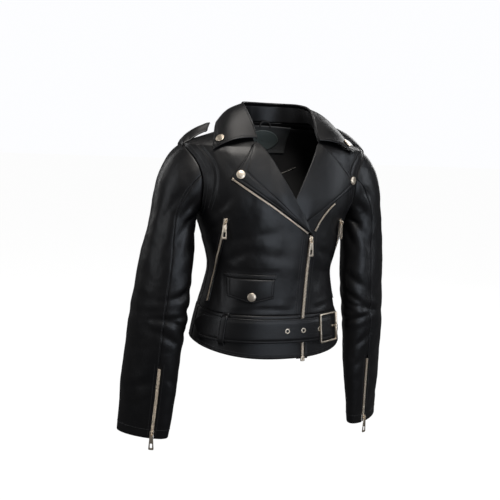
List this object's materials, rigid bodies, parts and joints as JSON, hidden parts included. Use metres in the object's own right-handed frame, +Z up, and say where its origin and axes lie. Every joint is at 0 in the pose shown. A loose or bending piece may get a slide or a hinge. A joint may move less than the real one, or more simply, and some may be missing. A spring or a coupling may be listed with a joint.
{
  "type": "leather riding jacket",
  "caption": "Cropped black leather riding jacket with an offset front zip, notched lapels, belt with buckle, shoulder straps, zipped pockets and cuffs.",
  "frame": {"origin": "the underside of the hanger loop's arch at the back of the neck, where a hook carries it", "axes": "+Z up, the jacket faces -Y, the wearer's right is -X"},
  "size_m": [0.6058, 0.2439, 0.7203],
  "materials": {
    "leather": "smooth black leather with a soft satin sheen",
    "lining": "plain black woven lining",
    "metal": "polished pale gold plating",
    "tape": "black woven zip tape",
    "label": "smooth grey-green leather patch"
  },
  "bodies": {
    "jacket": {"front_panel_right": "leather", "front_panel_left": "leather", "back_panel": "leather", "back_yoke": "leather", "waistband_right": "leather", "waistband_left": "leather", "waistband_back": "leather", "lapel_right": "leather", "lapel_left": "leather", "collar_leaf": "leather", "collar_stand": "leather", "sleeve_outer_right": "leather", "sleeve_inner_right": "leather", "sleeve_outer_left": "leather", "sleeve_inner_left": "leather", "lining_body": "lining", "sleeve_lining_right": "lining", "sleeve_lining_left": "lining", "neck_facing": "leather", "neck_label": "label", "pocket_bag_right": "lining", "pocket_bag_left": "lining", "snap_lapel_right": "metal", "snap_lapel_left": "metal", "snap_collar_right": "metal", "snap_collar_left": "metal", "coin_pocket_welt": "leather", "main_zip_chain": "metal", "main_zip_tape": "tape", "main_zip_teeth_right": "metal", "main_zip_teeth_left": "metal", "chest_zip_chain_right": "metal", "chest_zip_chain_left": "metal", "cuff_zip_chain_right": "metal", "cuff_zip_chain_left": "metal", "belt_strap": "leather", "belt_buckle_tab": "leather", "belt_loop_right": "leather", "hanger_loop": "tape"},
    "main_zip_slider_body": {"main_zip_slider": "metal"},
    "main_zip_pull_body": {"main_zip_pull": "metal"},
    "chest_zip_right_slider_body": {"chest_zip_right_slider": "metal"},
    "chest_zip_right_pull_body": {"chest_zip_right_pull": "metal"},
    "chest_zip_left_slider_body": {"chest_zip_left_slider": "metal"},
    "chest_zip_left_pull_body": {"chest_zip_left_pull": "metal"},
    "cuff_zip_right_slider_body": {"cuff_zip_right_slider": "metal"},
    "cuff_zip_right_pull_body": {"cuff_zip_right_pull": "metal"},
    "cuff_zip_left_slider_body": {"cuff_zip_left_slider": "metal"},
    "cuff_zip_left_pull_body": {"cuff_zip_left_pull": "metal"},
    "coin_flap_body": {"coin_flap": "leather", "coin_flap_snap": "metal"},
    "buckle_frame_body": {"buckle_frame": "metal"},
    "buckle_prong_body": {"buckle_prong": "metal"},
    "epaulette_right_body": {"epaulette_right": "leather"},
    "epaulette_left_body": {"epaulette_left": "leather"}
  },
  "joints": [
    {"name": "main_zip_slide", "type": "slide", "parent": "jacket", "child": "main_zip_slider_body", "axis": [-0.0429, 0.0163, -0.9989], "range_m": [0, 0.122]},
    {"name": "main_zip_pull_swing", "type": "hinge", "parent": "main_zip_slider_body", "child": "main_zip_pull_body", "pos_m": [0.04891, -0.1777, -0.22815], "axis": [-0.9862, -0.1656, 0], "range_deg": [0, 140]},
    {"name": "chest_zip_right_slide", "type": "slide", "parent": "jacket", "child": "chest_zip_right_slider_body", "axis": [-0.0997, 0.2918, -0.9513], "range_m": [0, 0.042]},
    {"name": "chest_zip_right_pull_swing", "type": "hinge", "parent": "chest_zip_right_slider_body", "child": "chest_zip_right_pull_body", "pos_m": [-0.12568, -0.14916, -0.19705], "axis": [-0.7727, 0.6348, 0], "range_deg": [0, 140]},
    {"name": "chest_zip_left_slide", "type": "slide", "parent": "jacket", "child": "chest_zip_left_slider_body", "axis": [0.0997, 0.2918, -0.9513], "range_m": [0, 0.042]},
    {"name": "chest_zip_left_pull_swing", "type": "hinge", "parent": "chest_zip_left_slider_body", "child": "chest_zip_left_pull_body", "pos_m": [0.12568, -0.14916, -0.19705], "axis": [-0.7727, -0.6348, 0], "range_deg": [0, 140]},
    {"name": "cuff_zip_right_slide", "type": "slide", "parent": "jacket", "child": "cuff_zip_right_slider_body", "axis": [0.0561, -0.1099, 0.9924], "range_m": [0, 0.118]},
    {"name": "cuff_zip_right_pull_swing", "type": "hinge", "parent": "cuff_zip_right_slider_body", "child": "cuff_zip_right_pull_body", "pos_m": [-0.24413, -0.08375, -0.64921], "axis": [-0.8934, 0.4492, 0], "range_deg": [0, 140]},
    {"name": "cuff_zip_left_slide", "type": "slide", "parent": "jacket", "child": "cuff_zip_left_slider_body", "axis": [-0.0561, -0.1099, 0.9924], "range_m": [0, 0.118]},
    {"name": "cuff_zip_left_pull_swing", "type": "hinge", "parent": "cuff_zip_left_slider_body", "child": "cuff_zip_left_pull_body", "pos_m": [0.24413, -0.08375, -0.64921], "axis": [-0.8934, -0.4492, 0], "range_deg": [0, 140]},
    {"name": "coin_flap_lift", "type": "hinge", "parent": "jacket", "child": "coin_flap_body", "pos_m": [-0.06894, -0.16679, -0.30899], "axis": [-0.9261, 0.3772, 0], "range_deg": [0, 75]},
    {"name": "buckle_frame_swing", "type": "hinge", "parent": "jacket", "child": "buckle_frame_body", "pos_m": [0.12622, -0.15198, -0.41261], "axis": [-0.0496, 0.0912, 0.9946], "range_deg": [0, 95]},
    {"name": "buckle_prong_play", "type": "hinge", "parent": "jacket", "child": "buckle_prong_body", "pos_m": [0.12622, -0.15198, -0.41261], "axis": [-0.0496, 0.0912, 0.9946], "range_deg": [-1, 1.5]},
    {"name": "epaulette_right_lift", "type": "hinge", "parent": "jacket", "child": "epaulette_right_body", "pos_m": [-0.201, -0.059, -0.0524], "axis": [0, -1, 0], "range_deg": [0, 70]},
    {"name": "epaulette_left_lift", "type": "hinge", "parent": "jacket", "child": "epaulette_left_body", "pos_m": [0.201, -0.059, -0.0524], "axis": [0, 1, 0], "range_deg": [0, 70]}
  ]
}
